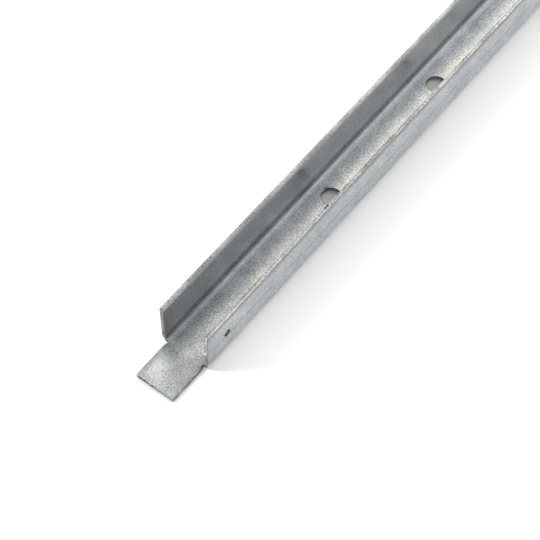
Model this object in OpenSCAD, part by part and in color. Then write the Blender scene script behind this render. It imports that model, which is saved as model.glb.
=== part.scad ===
// Mounting rail: one length of cold-formed, hot-dip galvanised channel.
// It lies web down with both flanges up. X runs across the rail, Y along it
// and Z up. The origin is under the middle of the web at mid length, on the
// plane that the web rests on. The near end is at -Y.

/* [Channel] */
// Length overall, from the tip of the tongue to the far end
rail_l = 1000; // [600:5:3000]
// Width across the outer faces of the two flanges
rail_w = 40; // [32:0.5:80]
// Height from the underside of the web to the top of the flanges
rail_h = 40; // [26:0.5:80]
// Thickness of the sheet
sheet_t = 3; // [1.5:0.25:4]
// Inner radius of the two bends
bend_r = 5; // [1:0.25:6]
// Rounding of the long edges along the top of the flanges
edge_r = 0.4; // [0.1:0.05:0.6]

/* [Tongue] */
// Length of the flat tongue that the notched flanges leave at the near end
tongue_l = 32.5; // [10:0.5:80]
// Width of the tongue
tongue_w = 31.5; // [16:0.5:32]

/* [Web holes] */
// Diameter of the fixing holes in the web
web_hole_d = 15; // [5:0.5:18]
// Distance from the tip of the tongue to the first web hole
web_hole_first = 195; // [100:1:250]
// Distance between neighbouring web holes
web_hole_pitch = 130; // [60:1:250]
// Least distance from the last web hole to the far end
web_hole_far = 60; // [20:1:200]

/* [Flange hole] */
// Diameter of the small hole in one flange
flange_hole_d = 5.5; // [3:0.25:8]
// Distance from the cut end of the flange to the small hole
flange_hole_in = 20; // [8:0.5:60]
// Height of the small hole above the underside of the web
flange_hole_z = 23; // [14:0.5:26]

/* [Hidden] */
$fn = 64;
near_y = -rail_l / 2;
flange_y = near_y + tongue_l;
outer_r = bend_r + sheet_t;
web_hole_n = floor((rail_l - web_hole_first - web_hole_far) / web_hole_pitch) + 1;
cut = 1;

// Flat-topped outline w wide and h high, its two lower corners rounded to r
module trough(w, h, r) {
    translate([-w / 2, r]) square([w, h - r]);
    translate([-w / 2 + r, 0]) square([w - 2 * r, h]);
    for (sx = [-1, 1]) translate([sx * (w / 2 - r), r]) circle(r);
}

// What is cut off to break the two edges of one flange top at x = 0
module broken_top() {
    difference() {
        translate([-cut, -edge_r]) square([sheet_t + 2 * cut, edge_r + cut]);
        translate([edge_r, -2 * edge_r]) square([sheet_t - 2 * edge_r, 2 * edge_r]);
        for (x = [edge_r, sheet_t - edge_r]) translate([x, -edge_r]) circle(edge_r);
    }
}

// Cross-section of the bent sheet in X and Z
module section() {
    difference() {
        trough(rail_w, rail_h, outer_r);
        translate([0, sheet_t]) trough(rail_w - 2 * sheet_t, rail_h, bend_r);
        for (side = [0, 1]) mirror([side, 0]) translate([-rail_w / 2, rail_h]) broken_top();
    }
}

// The full channel, from the cut ends of the flanges to the far end
module formed_length() {
    translate([0, rail_l / 2, 0]) rotate([90, 0, 0])
        linear_extrude(rail_l - tongue_l) section();
}

// The flat tongue that is left of the web in front of the notched flanges
module tongue() {
    translate([-tongue_w / 2, near_y, 0])
        cube([tongue_w, tongue_l + outer_r, sheet_t]);
}

module web_holes() {
    for (i = [0 : web_hole_n - 1])
        translate([0, near_y + web_hole_first + i * web_hole_pitch, -cut])
            cylinder(h = sheet_t + 2 * cut, d = web_hole_d);
}

module flange_hole() {
    translate([rail_w / 2 - sheet_t - cut, flange_y + flange_hole_in, flange_hole_z])
        rotate([0, 90, 0]) cylinder(h = sheet_t + 2 * cut, d = flange_hole_d);
}

module channel() {
    color([0.68, 0.69, 0.69]) difference() {
        union() {
            formed_length();
            tongue();
        }
        web_holes();
        flange_hole();
    }
}

channel();
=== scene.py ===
"""Mounting rail: galvanised steel channel with a flat tongue, lying web down."""

import math
import random
from functools import partial

import bpy
from mathutils import Matrix, Vector


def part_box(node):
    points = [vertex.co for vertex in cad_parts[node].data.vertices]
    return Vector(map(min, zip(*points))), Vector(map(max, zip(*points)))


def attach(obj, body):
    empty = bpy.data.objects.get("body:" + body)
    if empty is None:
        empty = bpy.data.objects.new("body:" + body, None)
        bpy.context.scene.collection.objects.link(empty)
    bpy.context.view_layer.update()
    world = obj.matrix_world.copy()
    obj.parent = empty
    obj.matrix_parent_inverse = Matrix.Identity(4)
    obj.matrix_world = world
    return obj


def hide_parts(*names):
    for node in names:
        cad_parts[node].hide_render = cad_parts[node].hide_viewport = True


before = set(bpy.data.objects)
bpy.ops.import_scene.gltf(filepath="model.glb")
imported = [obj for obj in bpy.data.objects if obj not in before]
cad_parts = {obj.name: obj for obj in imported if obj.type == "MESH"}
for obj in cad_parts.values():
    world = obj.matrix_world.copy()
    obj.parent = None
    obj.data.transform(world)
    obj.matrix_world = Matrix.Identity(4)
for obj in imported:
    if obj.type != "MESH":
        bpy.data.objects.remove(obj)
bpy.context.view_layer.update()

MM = 0.001

# ---------------------------------------------------------------- sizes of the rail
LOW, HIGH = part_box("channel")
TIP = LOW.y
WIDTH = HIGH.x - LOW.x
HEIGHT = HIGH.z - LOW.z
SHEET = 3 * MM
BEND_IN = 5 * MM
BEND_OUT = BEND_IN + SHEET
WEB_FLAT = WIDTH / 2 - BEND_OUT
TONGUE_LONG = 32.5 * MM
TONGUE_HALF = 15.75 * MM
WEB_HOLE_R = 7.5 * MM
WEB_HOLES = [TIP + (195 + 130 * i) * MM for i in range(6)]
SCREW_HOLE_R = 2.75 * MM
SCREW_HOLE_Y = TIP + 52.5 * MM
SCREW_HOLE_Z = 23 * MM
STEP = 2.5 * MM
WEB_COLUMNS = 10
FLANGE_ROWS = 8
SUPPORT = 0.4 * MM
CLOSE = 0.02 * MM
SHEAR_EDGE = 0.25 * MM
NOTCH_ANGLE = math.asin((TONGUE_HALF - WEB_FLAT) / BEND_OUT)
LOOSE_BEADS = 46

# the faces that a round hole takes the place of reach this far from its middle, or, up
# the flange, from low to high
WEB_PATCH_WIDE = 9.7 * MM
WEB_PATCH_LONG = 10.1 * MM
SCREW_PATCH_LONG = 7.6 * MM
SCREW_PATCH_LOW = 15.9 * MM
SCREW_PATCH_HIGH = 32.5 * MM

# ---------------------------------------------------------------- the studio
FLOOR_SIDE = 12
LAMP_AWAY = 3


# ---------------------------------------------------------------- modelling helpers
def only(piece):
    """Makes piece the one selected and active object."""
    if bpy.context.mode != "OBJECT":
        bpy.ops.object.mode_set(mode="OBJECT")
    bpy.ops.object.select_all(action="DESELECT")
    piece.select_set(True)
    bpy.context.view_layer.objects.active = piece


def pick(piece, kind, test):
    """Selects just the vertices, edges or faces whose corners all pass test."""
    bpy.ops.object.mode_set(mode="EDIT")
    bpy.ops.mesh.select_mode(type=kind)
    bpy.ops.mesh.select_all(action="DESELECT")
    bpy.ops.object.mode_set(mode="OBJECT")
    mesh = piece.data
    passed = [test(v.co) for v in mesh.vertices]
    if kind == "VERT":
        for v in mesh.vertices:
            v.select = passed[v.index]
    else:
        for part in (mesh.edges if kind == "EDGE" else mesh.polygons):
            part.select = all(passed[i] for i in part.vertices)
    bpy.ops.object.mode_set(mode="EDIT")


def near(a, b):
    return abs(a - b) < CLOSE


def finish_modifiers(piece):
    only(piece)
    for name in [m.name for m in piece.modifiers]:
        bpy.ops.object.modifier_apply(modifier=name)


# ---------------------------------------------------------------- the rail
def sheet_outside():
    """The outside skin of the bent sheet: web, then both bends and flanges."""
    only(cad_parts["channel"])
    bpy.ops.object.select_all(action="DESELECT")
    bpy.ops.mesh.primitive_grid_add(
        x_subdivisions=WEB_COLUMNS, y_subdivisions=round((HIGH.y - TIP) / STEP), size=1)
    skin = bpy.context.object
    skin.name = "galvanised_channel"
    skin.data.name = "galvanised_channel"
    bpy.ops.object.mode_set(mode="EDIT")
    bpy.ops.transform.resize(value=(2 * (WEB_FLAT - SUPPORT), HIGH.y - TIP, 1))
    for side in (-1, 1):
        # a narrow flat row on each side of a bend keeps the flats shaded flat
        pick(skin, "EDGE", lambda co: near(co.x, side * (WEB_FLAT - SUPPORT)))
        bpy.ops.mesh.extrude_region_move(
            TRANSFORM_OT_translate={"value": (side * SUPPORT, 0, 0)})
        # each bend is spun in two goes, so that a row of it lies where the tongue's edge cuts
        for steps, angle in ((3, NOTCH_ANGLE), (4, math.pi / 2 - NOTCH_ANGLE)):
            bpy.ops.mesh.spin(
                steps=steps, angle=angle, center=(side * WEB_FLAT, 0, BEND_OUT),
                axis=(0, side, 0))
        row = (HEIGHT - BEND_OUT - SUPPORT) / FLANGE_ROWS
        for rise in [SUPPORT] + FLANGE_ROWS * [row]:
            bpy.ops.mesh.extrude_region_move(
                TRANSFORM_OT_translate={"value": (0, 0, rise)})
    bpy.ops.mesh.select_all(action="SELECT")
    bpy.ops.mesh.remove_doubles(threshold=0.01 * MM)
    return skin


def notch_flanges(skin):
    """Takes the flanges off the near end and flattens the tongue that is left."""
    notch = TIP + TONGUE_LONG
    slack = 0.1 * MM
    pick(skin, "FACE", lambda co: co.y < notch + slack and abs(co.x) > TONGUE_HALF - slack)
    bpy.ops.mesh.delete(type="FACE")
    pick(skin, "VERT", lambda co: co.y < notch - slack and abs(co.x) > WEB_FLAT + slack)
    bpy.ops.transform.resize(value=(1, 1, 0), center_override=(0, 0, 0))


def open_round_hole(skin, on_patch, centre, radius):
    """Takes out the faces that pass on_patch and draws the gap's edge in to a round rim."""
    pick(skin, "FACE", on_patch)
    bpy.ops.mesh.delete(type="FACE")
    bpy.ops.mesh.select_mode(type="EDGE")
    bpy.ops.mesh.select_non_manifold(
        extend=False, use_wire=False, use_multi_face=False, use_non_contiguous=False,
        use_verts=False)
    bpy.ops.object.mode_set(mode="OBJECT")
    mesh = skin.data
    for e in mesh.edges:
        e.select = e.select and all(on_patch(mesh.vertices[i].co) for i in e.vertices)
    bpy.ops.object.mode_set(mode="EDIT")
    bpy.ops.mesh.extrude_edges_move()
    bpy.ops.transform.tosphere(value=1)
    bpy.ops.object.mode_set(mode="OBJECT")
    rim = [v.co.copy() for v in mesh.vertices if v.select]
    middle = sum(rim, Vector()) / len(rim)
    mean = sum((co - middle).length for co in rim) / len(rim)
    bpy.ops.object.mode_set(mode="EDIT")
    bpy.ops.transform.resize(value=(radius / mean,) * 3, center_override=middle)
    bpy.ops.transform.translate(value=centre - middle)


def leave_ends_unsquare(skin):
    """Moves the sawn flange ends by the small amounts they are out of square."""
    notch = TIP + TONGUE_LONG
    for side, top, painted_foot_shade in ((-1, -0.35, -0.3), (1, 0.25, -0.35)):
        for v in skin.data.vertices:
            if near(v.co.y, notch) and side * v.co.x > WIDTH / 2 - SHEET:
                up = v.co.z / HEIGHT
                v.co.y += (painted_foot_shade + (top - painted_foot_shade) * up) * MM


def punch_holes(skin):
    for y in WEB_HOLES:
        open_round_hole(
            skin,
            lambda co: abs(co.x) < WEB_PATCH_WIDE and abs(co.y - y) < WEB_PATCH_LONG
            and near(co.z, 0),
            Vector((0, y, 0)), WEB_HOLE_R)
    open_round_hole(
        skin,
        lambda co: near(co.x, WIDTH / 2) and SCREW_PATCH_LOW < co.z < SCREW_PATCH_HIGH
        and abs(co.y - SCREW_HOLE_Y) < SCREW_PATCH_LONG,
        Vector((WIDTH / 2, SCREW_HOLE_Y, SCREW_HOLE_Z)), SCREW_HOLE_R)


def thicken(skin):
    """Gives the skin its sheet thickness and breaks its sheared edges."""
    bpy.ops.mesh.select_all(action="SELECT")
    bpy.ops.mesh.normals_make_consistent(inside=False)
    bpy.ops.object.mode_set(mode="OBJECT")
    web = min(skin.data.polygons, key=lambda f: f.center.length)
    if web.normal.z > 0:
        bpy.ops.object.mode_set(mode="EDIT")
        bpy.ops.mesh.flip_normals()
        bpy.ops.object.mode_set(mode="OBJECT")
    wall = skin.modifiers.new("sheet", "SOLIDIFY")
    wall.thickness = SHEET
    wall.offset = -1
    wall.use_even_offset = True
    wall.material_offset_rim = 1
    edge = skin.modifiers.new("sheared edge", "BEVEL")
    edge.width = SHEAR_EDGE
    edge.segments = 2
    edge.limit_method = "ANGLE"
    edge.angle_limit = math.radians(50)
    edge.material = 1
    finish_modifiers(skin)
    bpy.ops.object.shade_smooth_by_angle(angle=math.radians(20))


# ---------------------------------------------------------------- materials
SMOOTH = {"interpolation_type": "SMOOTHSTEP"}
TIMES = {"operation": "MULTIPLY"}
PLUS = {"operation": "ADD"}
LESS = {"operation": "SUBTRACT"}
MOST = {"operation": "MAXIMUM"}
PLAIN = {"operation": "ABSOLUTE"}
LAID = {"data_type": "RGBA"}
SHADED = {"data_type": "RGBA", "blend_type": "MULTIPLY"}


def linear(hex_code):
    """An sRGB hex colour as the linear colour that a shader takes."""
    out = []
    for i in (1, 3, 5):
        c = int(hex_code[i:i + 2], 16) / 255
        out.append(c / 12.92 if c <= 0.04045 else ((c + 0.055) / 1.055) ** 2.4)
    return (*out, 1)


def add(tree, kind, *inputs, give=None, **settings):
    """Adds one node with its settings and links. Gives its first output, or the one named.

    inputs go to the node's sockets in order, or by name from a dict. Each is a number,
    a vector, a hex colour or another node's output.
    """
    made = tree.nodes.new("ShaderNode" + kind)
    for name, value in settings.items():
        setattr(made, name, value)
    sockets = [socket for socket in made.inputs if socket.enabled]
    if inputs and isinstance(inputs[0], dict):
        sockets = [made.inputs[name] for name in inputs[0]]
        inputs = inputs[0].values()
    for socket, value in zip(sockets, inputs):
        if isinstance(value, bpy.types.NodeSocket):
            tree.links.new(value, socket)
        else:
            socket.default_value = linear(value) if isinstance(value, str) else value
    if give:
        return made.outputs[give]
    return next((socket for socket in made.outputs if socket.enabled), None)


def new_material(name):
    """An empty material, and the function that adds a node to it."""
    made = bpy.data.materials.new(name)
    made.use_nodes = True
    made.node_tree.nodes.clear()
    return made, partial(add, made.node_tree)


def rail_axes(node):
    """The place on the rail, and its parts: across, aside (either way), along and up."""
    place = node("TexCoord", give="Object")
    axes = {name: node("SeparateXYZ", place, give=letter)
            for name, letter in (("across", "X"), ("along", "Y"), ("up", "Z"))}
    axes["aside"] = node("Math", axes["across"], **PLAIN)
    return place, axes


def zone(node, axes, *borders):
    """Share of the surface within soft borders, each border's share times the next.

    A border is its axis, where it starts and ends, and its shares there, 0 and 1 unless
    given. Lengths are in mm, along from the tip. Through is a share of the sheet.
    """
    share = None
    for axis, first, last, *ends in borders:
        unit = 1 if axis == "through" else MM
        zero = TIP if axis == "along" else 0
        border = node("MapRange", axes[axis], zero + first * unit, zero + last * unit,
                      *ends, **SMOOTH)
        share = border if share is None else node("Math", share, border, **TIMES)
    return share


def spot(node, place, centre, radius, soft=0.5, squeeze=(1, 1, 1)):
    """1 at centre (mm: across, from the tip, up), falling to 0 at radius (mm)."""
    middle = Vector((centre[0] * MM, TIP + centre[1] * MM, centre[2] * MM))
    gap = node("VectorMath", place, middle, operation="SUBTRACT")
    gap = node("VectorMath", gap, squeeze, operation="MULTIPLY")
    far = node("VectorMath", gap, operation="LENGTH")
    return node("MapRange", far, radius * soft * MM, radius * MM, 1, 0, **SMOOTH)


def patches(node, place, waves, low, high, *ends, detail=2, rough=0.5):
    """Uneven patches, about that many a metre, that turn on between low and high."""
    cloud = node("TexNoise", {
        "Vector": place, "Scale": waves, "Detail": detail, "Roughness": rough})
    return node("MapRange", cloud, low, high, *ends, **SMOOTH)


def scrape(node, axes, height, wide, wander, gaps):
    """A thin line drawn along the rail on its outer face at that height, with gaps."""
    trail = node("CombineXYZ", {"Y": axes["along"], "X": height * 100})
    drift = node("Math", node("TexNoise", {"Vector": trail, "Scale": 14}), wander, **TIMES)
    off = node("Math", axes["up"], drift, **PLUS)
    off = node("Math", node("Math", off, height + wander / 2, **LESS), **PLAIN)
    line = node("MapRange", off, 0.2 * wide, wide, 1, 0, **SMOOTH)
    return node("Math", line, patches(node, trail, 70, gaps, gaps + 0.12, detail=3), **TIMES)


def bend_painted_highlight(node, axes):
    """Painted highlight on the left bend and flange: share of white at given heights in mm."""
    stops = ((3.6, 0), (4.1, 0.34), (4.9, 0.65), (5.8, 0.08), (6.4, 0.1), (7.4, 0.4),
             (9.2, 0.9), (10.6, 0.9), (12.2, 0.75), (15, 0.38), (20, 0.24), (40, 0.24))
    first, last = stops[0][0], stops[-1][0]
    bloom = node("ValToRGB", node("MapRange", axes["up"], first * MM, last * MM))
    points = bloom.node.color_ramp.elements
    points.remove(points[1])
    for height, share in stops:
        where = (height - first) / (last - first)
        point = points[0] if height == first else points.new(where)
        point.position = where
        point.color = (share, share, share, 1)
    return bloom


def grained_zinc(node, place, grain):
    """Light and dark crystals, in slow clouds."""
    colour = node("Mix", node("MapRange", grain, 0.41, 0.59), "#A2A6AB", "#DBDDDF", **LAID)
    cloud = patches(node, place, 70, 0.3, 0.7, detail=3, rough=0.6)
    colour = node("Mix", 1, colour, node("Mix", cloud, "#E6E8EA", "#FFFFFF", **LAID), **SHADED)
    cloud = patches(node, place, 24, 0.35, 0.65)
    return node("Mix", 1, colour, node("Mix", cloud, "#F2F4F6", "#FFFFFD", **LAID), **SHADED)


def handling_marks_and_painted_light(node, place, axes, colour):
    """Scratches, rubbed and dark marks, hole rims, and painted light and shade on the tongue."""
    outer = zone(node, axes, ("across", 19.2, 19.8))
    fainter = scrape(node, axes, 11 * MM, 0.6 * MM, 5 * MM, 0.5)
    scratches = node("Math", scrape(node, axes, 20.7 * MM, 0.5 * MM, 1.2 * MM, 0.38),
                     node("Math", 0.5, fainter, **TIMES), **MOST)
    scratches = node("Math", outer, scratches, **TIMES)
    colour = node("Mix", node("Math", 0.25, outer, **TIMES), colour, "#C6C9CC", **LAID)
    colour = node("Mix", scratches, colour, "#424346", **LAID)
    for centre, radius, soft, squeeze, mark, most in (
            # tongue top: rubbed pale; painted light at the notch and painted shade at the right
            ((-7.5, 14.5, 3), 11, 0.1, (1.15, 0.75, 1), "#F6F8FA", 0.4),
            ((1.5, 33.5, 3), 5, 0.1, (1, 1, 1), "#F6F8FA", 0.35),
            ((11, 23, 3), 17, 0.3, (1, 0.85, 1), "#8A8780", 0.38),
            # a smudge on the left flange, and a dark patch at the far side of the first hole
            ((-17, 176.6, 28), 12, 0, (1, 0.7, 1), "#55585C", 0.25),
            ((-7, 198.6, 3), 2.8, 0.4, (1, 1, 1), "#4A4640", 0.7)):
        marked = spot(node, place, centre, radius, soft, squeeze)
        colour = node("Mix", node("Math", most, marked, **TIMES), colour, mark, **LAID)
    # a thin dark line on the near side of the first three web holes
    for hole in WEB_HOLES[:3]:
        out = (hole - TIP) / MM
        ring = node("Math", spot(node, place, (0, out, 3), 7.95, 0.97),
                    zone(node, axes, ("along", out, out + 3, 0.6, 0)), **TIMES)
        colour = node("Mix", ring, colour, "#33312E", **LAID)
    return colour


def bends_and_web(node, axes, colour):
    """Painted light and shade on the zinc from the web over the left bend to the tongue."""
    behind = zone(node, axes, ("along", 30, 50))
    # painted warm light: the right half of the web is tinted warmer
    painted_warm_light = zone(node, axes, ("up", 3.2, 4, 1, 0), ("across", -14, 2), ("along", 30, 50))
    colour = node("Mix", painted_warm_light, colour, node("Mix", 1, colour, "#FFFCF6", **SHADED), **LAID)
    # painted highlight inside the left bend; outside, it and its flange get painted shade
    back = node("Math", zone(node, axes, ("across", -14, -12, 1, 0), ("up", 2.4, 2.9, 1, 0)),
                zone(node, axes, ("across", -18.6, -17.2, 1, 0)), **MOST)
    pale = node("Math", bend_painted_highlight(node, axes), zone(node, axes, ("across", -14, -13, 1, 0)),
                **TIMES)
    pale = node("Math", pale, node("MapRange", back, 0, 1, 1, 0, **SMOOTH), **TIMES)
    colour = node("Mix", pale, colour, "#FFFFFF", **LAID)
    colour = node("Mix", node("Math", 0.6, back, **TIMES), colour, "#74777A", **LAID)
    # painted shade: a darker band on the web where the left bend ends
    painted_shade_band = zone(node, axes, ("across", -12.8, -11, 0.28, 0), ("up", 3.6, 4.3, 1, 0),
                ("along", 30, 50))
    colour = node("Mix", painted_shade_band, colour, "#6A6D71", **LAID)
    # the tongue darkens to its sides, most halfway along the left one
    side = zone(node, axes, ("across", -14, -9.5, 0.2, 0), ("along", 4, 10),
                ("along", 19, 25, 1, 0))
    rim = node("Math", zone(node, axes, ("aside", 11, 14.5, 0.05, 0.3)), side, **PLUS)
    rim = node("Math", rim, node("MapRange", behind, 0, 1, 1, 0, **SMOOTH), **TIMES)
    colour = node("Mix", rim, colour, "#6C6D6E", **LAID)
    # painted shade: the web is dark on the left where the flange begins
    notch = zone(node, axes, ("across", -12, -2, 0.42, 0), ("up", 4, 6, 1, 0),
                 ("along", 30, 42), ("along", 58, 100, 1, 0.25))
    return node("Mix", notch, colour, "#55585C", **LAID)


def galvanised_steel():
    """Hot-dip galvanised steel: zinc, matt and finely grained."""
    made, node = new_material("hot_dip_galvanised_steel")
    place, axes = rail_axes(node)
    # the crystals of the zinc are near half a millimetre; drawn twice as coarse
    grain = node("TexNoise", {"Vector": place, "Scale": 930, "Roughness": 0.75})
    relief = node("Bump", {"Height": grain, "Strength": 0.3, "Distance": 0.1 * MM})
    colour = grained_zinc(node, place, grain)
    colour = handling_marks_and_painted_light(node, place, axes, colour)
    colour = bends_and_web(node, axes, colour)
    # the left flange's inner face is flecked
    wall = zone(node, axes, ("across", -16.9, -16.5, 1, 0), ("across", -18, -17.5))
    fleck = patches(node, place, 760, 0.35, 0.65, detail=1)
    flecked = node("Mix", 1, colour, node("Mix", fleck, "#DBDDDF", "#FFFFFF", **LAID), **SHADED)
    colour = node("Mix", wall, colour, flecked, **LAID)
    # painted shade under the right flange's lip and in the corner where the tongue meets it
    under_lip_shade = zone(node, axes, ("across", 19.2, 19.8), ("up", 34.8, 38.3),
               ("up", 39.2, 39.9, 0.45, 0.2))
    painted_foot_shade = zone(node, axes, ("up", 0.5, 4.5, 1, 0), ("across", 12, 15), ("along", 30.5, 32.5))
    dull = node("Math", under_lip_shade, node("Math", 0.65, painted_foot_shade, **TIMES), **MOST)
    colour = node("Mix", dull, colour, "#54565A", **LAID)
    # dark specks all over, and pits where the tongue meets the right flange
    specks = node("Math", 0.35, patches(node, place, 430, 0.66, 0.72), **TIMES)
    colour = node("Mix", specks, colour, "#4A4A4A", **LAID)
    pitted = node("Math", spot(node, place, (12, 30, 3), 9, 0.3),
                  patches(node, place, 640, 0.6, 0.66, detail=1), **TIMES)
    colour = node("Mix", node("Math", 0.4, pitted, **TIMES), colour, "#3A3733", **LAID)
    # matt and pale: a line under the left flange's top edge; painted light in the right corner
    # of the notch; and two zinc beads on the right flange's end, white as a painted glint
    pale_line = node("Math", wall, zone(node, axes, ("up", 36.4, 39.2)), **TIMES)
    corner = node("Math", spot(node, place, (14.6, 33.6, 3.5), 4.4, 0.55), 0.8, **TIMES)
    beads = node("Math", spot(node, place, (18.6, 32.2, 34.8), 1.2, 0.7),
                 spot(node, place, (18.1, 32.1, 21.4), 1.3, 0.7), **MOST)
    for share, white in ((pale_line, "#BFBEB9"), (corner, "#9B9B98"), (beads, "#FBFBF8")):
        colour = node("Mix", share, colour, white, **LAID)
    matt_pale = node("Math", node("Math", pale_line, corner, **MOST), beads, **MOST)
    metal = node("Math", 1, matt_pale, **LESS)
    # rougher on the tongue
    gloss = zone(node, axes, ("along", 28, 70, 0.38, 0.28))
    shader = node("BsdfPrincipled", {
        "Base Color": colour, "Metallic": metal, "Roughness": gloss, "Normal": relief})
    node("OutputMaterial", shader)
    return made


def flange_tops(node, place, axes, pits, behind, right):
    """Sheared tops of the flanges: pitted, with a dull line one third through the right one."""
    pitted = node("MapRange", pits, 0.36, 0.6, **SMOOTH)
    light = node("Mix", pitted, "#828386", "#CBCCCE", **LAID)
    cloud = patches(node, place, 30, 0.38, 0.62)
    light = node("Mix", 1, light, node("Mix", cloud, "#D2D1CE", "#FFFFFF", **LAID), **SHADED)
    light = node("Mix", 0.13, light, "#5A5955", **LAID)
    # the right top has a groove a third of the way through and one at its outer side
    third = zone(node, axes, ("through", 0.1, 0.25), ("through", 0.4, 0.55, 1, 0),
                 ("along", 60, 110, 0.18, 0.3))
    groove = zone(node, axes, ("through", 0.74, 0.96), ("along", 85, 115, 0.15, 0.6))
    groove = node("Math", third, groove, **MOST)
    # the left top is dull along both skins
    dip = zone(node, axes, ("through", 0, 0.15, 0.6, 1), ("through", 0.25, 0.7, 0.32, 0))
    outer = node("Math", 0.35, zone(node, axes, ("through", 0.72, 0.95)), **TIMES)
    skins = node("Math", dip, outer, **MOST)
    groove = node("Math", node("Mix", right, skins, groove, **LAID), behind, **TIMES)
    light = node("Mix", groove, light, "#52514D", **LAID)
    # the right top is whiter along its outer side near the tongue
    bright = zone(node, axes, ("through", 0.64, 0.8), ("through", 0.82, 0.94, 1, 0),
                  ("along", 85, 100, 0.4, 0))
    bright = node("Math", right, bright, **TIMES)
    light = node("Mix", bright, light, "#FFFFFF", **LAID)
    # brown pits, crowded in places, most of them on the right top past the tongue
    holes = node("Math", patches(node, place, 22, 0.45, 0.6, 0.25, 1, detail=1),
                 patches(node, place, 520, 0.58, 0.66, detail=1), **TIMES)
    holes = node("Math", holes, node("MapRange", right, 0, 1, 0.25, 1, **SMOOTH), **TIMES)
    stretch = zone(node, axes, ("along", 80, 105, 0.2, 1), ("along", 175, 210, 1, 0.4))
    holes = node("Math", holes, stretch, **TIMES)
    light = node("Mix", holes, light, "#3B3027", **LAID)
    # a nick in the right top before the first hole
    for out, aside in ((162.2, 17.2), (163.4, 17.2), (164.5, 17.3), (165.3, 17.4)):
        nick = spot(node, place, (aside, out, 40), 1, 0.7)
        light = node("Mix", node("Math", 0.9, nick, **TIMES), light, "#1E1B18", **LAID)
    return light


def sawn_ends(node, place, axes, light, right):
    """Flange ends over the tongue: the right pale with zinc and painted light, the left duller.
    """
    # the right end is painted pale: white zinc, and painted light where it catches the light
    zinc_and_painted_light = node("Mix", 0.6, light, "#FAFAF8", **LAID)
    blot = node("Math", 0.7, patches(node, place, 190, 0.5, 0.56), **TIMES)
    zinc_and_painted_light = node("Mix", blot, zinc_and_painted_light, "#77756F", **LAID)
    seam = zone(node, axes, ("through", 0.12, 0.42, 0.75, 0), ("up", 20, 23))
    outer = node("Math", 0.9, zone(node, axes, ("through", 0.72, 0.95)), **TIMES)
    zinc_and_painted_light = node("Mix", node("Math", seam, outer, **MOST), zinc_and_painted_light, "#4A4946", **LAID)
    return node("Mix", right, node("Mix", 0.85, light, "#6C6C6A", **LAID), zinc_and_painted_light, **LAID)


def low_edges(node, place, axes, pits, screw, bored):
    """Edges of the tongue and the holes: darker, blotched and lined along both skins."""
    pitted = node("MapRange", pits, 0.35, 0.65, **SMOOTH)
    dark = node("Mix", pitted, "#84817D", "#C6C4C0", **LAID)
    dark = node("Mix", bored, dark, "#CFCDC9", **LAID)
    both = node("Math", bored, screw, **MOST)
    lines = node("Math", zone(node, axes, ("through", 0.02, 0.22, 1, 0)),
                 zone(node, axes, ("through", 0.72, 0.95)), **MOST)
    inside = node("Math", bored, zone(node, axes, ("through", 0.15, 0.5, 1, 0)), **TIMES)
    lines = node("Math", lines, inside, **MOST)
    lines = node("Math", lines, node("MapRange", both, 0, 1, 0.5, 0.95, **SMOOTH), **TIMES)
    # painted light: the lines fade on the last millimetres before the notch
    corner = zone(node, axes, ("along", 28, 31, 1, 0.3))
    lines = node("Math", lines, node("Math", both, corner, **MOST), **TIMES)
    dark = node("Mix", lines, dark, "#221F1D", **LAID)
    flank = zone(node, axes, ("across", 15.2, 15.5))
    # painted shade: the tongue's right side darker towards the floor, less near the notch
    painted_foot_shade = zone(node, axes, ("through", 0.3, 0.75, 0, 0.75), ("along", 28, 31, 1, 0.3))
    painted_foot_shade = node("Math", flank, painted_foot_shade, **TIMES)
    dark = node("Mix", painted_foot_shade, dark, "#3A3734", **LAID)
    spots = node("Math", patches(node, place, 190, 0.48, 0.53),
                 zone(node, axes, ("through", 0.3, 0.9, 1, 0.3)), **TIMES)
    cleaner = node("Math", flank, bored, **MOST)
    spots = node("Math", spots, node("MapRange", cleaner, 0, 1, 1, 0.35, **SMOOTH), **TIMES)
    dark = node("Mix", spots, dark, "#0E0C0B", **LAID)
    return node("Mix", node("Math", 0.5, screw, **TIMES), dark, "#1C1A18", **LAID)


def sheared_steel():
    """Sheared edges of the sheet, zinc over torn steel: dull, pitted, lined along both skins."""
    made, node = new_material("sheared_galvanised_steel_edge")
    place, axes = rail_axes(node)
    axes["through"] = node("Attribute", attribute_name="through", give="Fac")
    # pits of half a millimetre, drawn twice as coarse
    pits = node("TexNoise", {"Vector": place, "Scale": 970, "Roughness": 0.7})
    relief = node("Bump", {"Height": pits, "Strength": 0.6, "Distance": 0.25 * MM})
    right = zone(node, axes, ("across", 0, 1))
    behind = zone(node, axes, ("along", 32.9, 33.7))
    light = flange_tops(node, place, axes, pits, behind, right)
    light = node("Mix", node("MapRange", behind, 0, 1, 0.85, 0, **SMOOTH), light,
                 sawn_ends(node, place, axes, light, right), **LAID)
    screw = spot(node, place, (18.5, 52.5, 23), 3.6, 0.9, (0.3, 1, 1))
    bored = zone(node, axes, ("along", 100, 110), ("aside", 9, 10, 1, 0))
    dark = low_edges(node, place, axes, pits, screw, bored)
    # the low edges and the flange hole; the bend's end over the tongue gets painted light
    low = node("Math", zone(node, axes, ("up", 3.3, 9, 1, 0)), screw, **MOST)
    sliver = zone(node, axes, ("along", 32, 32.4), ("across", 15.7, 16.4, 1, 0),
                  ("across", 10.9, 11))
    low = node("Math", low, node("MapRange", sliver, 0, 1, 1, 0.1, **SMOOTH), **TIMES)
    # the walls of the web's holes are rougher than the other edges
    gloss = node("MapRange", bored, 0, 1, 0.42, 0.8, **SMOOTH)
    shader = node("BsdfPrincipled", {
        "Base Color": node("Mix", low, light, dark, **LAID), "Metallic": 1,
        "Roughness": gloss, "Normal": relief})
    node("OutputMaterial", shader)
    return made


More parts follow.
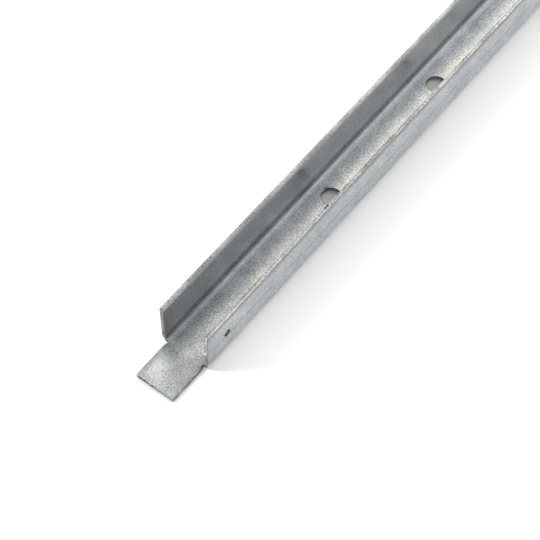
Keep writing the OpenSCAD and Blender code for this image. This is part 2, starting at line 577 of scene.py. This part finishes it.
def zinc_beads(piece):
    """Small frozen drips of zinc on the sheared edges, joined to the rail."""
    dice = random.Random(7)
    # across, from the tip, up and radius in mm: first the three on the flanges' ends
    beads = [(18.6, 32.3, 34.8, 0.6), (18.1, 32.2, 21.4, 0.75), (-18.6, 31.8, 11.5, 0.6)]
    flange_top = 40 - 0.12
    for _ in range(LOOSE_BEADS):
        # two in three on the right flange's top
        side = dice.choice((-1, 1, 1))
        beads.append((side * dice.uniform(17.3, 19.7), dice.uniform(34, 330), flange_top,
                      dice.uniform(0.18, 0.34)))
    made = []
    for x, y, z, radius in beads:
        bpy.ops.mesh.primitive_ico_sphere_add(
            subdivisions=2, radius=radius * MM, location=(x * MM, TIP + y * MM, z * MM),
            scale=(1, dice.uniform(1, 1.6), 0.8))
        bead = bpy.context.object
        bpy.ops.object.transform_apply(location=True, rotation=True, scale=True)
        bpy.ops.object.shade_smooth()
        bead.data.materials.append(piece.data.materials[0])
        made.append(bead)
    only(piece)
    for bead in made:
        bead.select_set(True)
    bpy.ops.object.join()


def mark_depth(piece):
    """Stores how far through the sheet each corner lies: 0 at the inside, 1 outside."""
    mesh = piece.data
    depth = mesh.attributes.new("through", "FLOAT", "POINT")
    for v in mesh.vertices:
        across = max(abs(v.co.x) - WEB_FLAT, 0)
        if v.co.y < TIP + TONGUE_LONG - 0.1 * MM:
            across = 0
        away = math.hypot(across, max(BEND_OUT - v.co.z, 0))
        depth.data[v.index].value = (away - BEND_IN) / SHEET


rail = sheet_outside()
notch_flanges(rail)
bpy.ops.object.mode_set(mode="OBJECT")
leave_ends_unsquare(rail)
punch_holes(rail)
rail.data.materials.clear()
rail.data.materials.append(galvanised_steel())
rail.data.materials.append(sheared_steel())
thicken(rail)
mark_depth(rail)
zinc_beads(rail)
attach(rail, "root")
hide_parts("channel")


# ---------------------------------------------------------------- floor, light, camera
def pale_floor():
    """Matt white floor. The camera and gloss see it a little past white."""
    bpy.ops.object.select_all(action="DESELECT")
    bpy.ops.mesh.primitive_plane_add(size=FLOOR_SIDE, location=(0, 0, LOW.z))
    floor = bpy.context.object
    floor.name = "floor"
    made, node = new_material("matt_white_floor")
    seen = node("Math", node("LightPath", give="Is Camera Ray"),
                node("LightPath", give="Is Glossy Ray"), **MOST)
    # painted shade: under the web, seen only down the holes, the floor stays plain and darker
    axes = rail_axes(node)[1]
    beyond = node("Math", axes["along"], **PLAIN)
    beyond = node("MapRange", beyond, HIGH.y - 60 * MM, HIGH.y - 40 * MM, **SMOOTH)
    clear = node("Math", zone(node, axes, ("aside", 12, 15)), beyond, **MOST)
    seen = node("Math", seen, clear, **TIMES)
    colour = node("Mix", seen, (0.7, 0.7, 0.7, 1), (1.075, 1.075, 1.075, 1), **LAID)
    node("OutputMaterial", node("BsdfDiffuse", colour))
    floor.data.materials.append(made)


def soft_box(name, towards, size, watts, tint):
    """A square lamp in the direction towards, facing the near end."""
    aim = Vector((0, TIP + 150 * MM, 0))
    lamp = bpy.data.lights.new(name, "AREA")
    lamp.shape = "SQUARE"
    lamp.size = size
    lamp.energy = watts
    lamp.color = linear(tint)[:3]
    holder = bpy.data.objects.new(name, lamp)
    bpy.context.scene.collection.objects.link(holder)
    way = Vector(towards).normalized()
    holder.location = aim + LAMP_AWAY * way
    holder.rotation_euler = way.to_track_quat("Z", "Y").to_euler()


def lobe(node, way, towards, low, high):
    """Share from 0 to 1 of a bright patch of the room around the direction towards."""
    facing = node("VectorMath", way, Vector(towards).normalized(), operation="DOT_PRODUCT")
    return node("MapRange", facing, low, high, **SMOOTH)


def studio_light():
    """A pale room, brighter at the back and on the right, and a bank at the back left."""
    world = bpy.data.worlds.new("studio")
    bpy.context.scene.world = world
    world.use_nodes = True
    world.node_tree.nodes.clear()
    node = partial(add, world.node_tree)
    way = node("TexCoord", give="Generated")
    bank = lobe(node, way, (-0.45, 0.72, 0.53), 0.78, 0.92)
    side = lobe(node, way, (0.9, 0.2, 0.35), 0.7, 0.95)
    deep = node("SeparateXYZ", way, give="Y")
    back = node("MapRange", deep, 0.58, 0.85, **SMOOTH)
    room = node("MapRange", deep, 0.1, 0.6, 0.42, 0.95)
    for patch, more in ((bank, 1.1), (side, 0.9), (back, 2.2)):
        room = node("Math", room, node("Math", patch, more, **TIMES), **PLUS)
    seen = node("LightPath", give="Is Camera Ray")
    white = node("Mix", seen, node("Mix", bank, "#FFFFFF", "#FFFDF5", **LAID), "#FFFFFF", **LAID)
    strength = node("MapRange", seen, 0, 1, room, 1, **SMOOTH)
    node("OutputWorld", node("Background", white, strength))
    soft_box("key", (-0.605, -0.479, 0.636), 0.6, 46, "#FFFFFF")


def viewpoint():
    """The camera: above and before the tongue, to the right, looking down along the rail."""
    stand = Vector((0.39754, TIP - 0.38321, 0.96691))
    heading = math.radians(38.092)
    down = math.radians(56.481)
    roll = math.radians(-0.376)
    lens = bpy.data.cameras.new("camera")
    lens.sensor_width = 36
    lens.lens = 112.221
    lens.clip_start = 0.05
    lens.clip_end = 50
    camera = bpy.data.objects.new("camera", lens)
    bpy.context.scene.collection.objects.link(camera)
    camera.matrix_world = (
        Matrix.Translation(stand) @ Matrix.Rotation(heading, 4, "Z")
        @ Matrix.Rotation(math.pi / 2 - down, 4, "X") @ Matrix.Rotation(roll, 4, "Z"))
    bpy.context.scene.camera = camera


pale_floor()
studio_light()
viewpoint()
bpy.context.scene.view_settings.view_transform = "Standard"
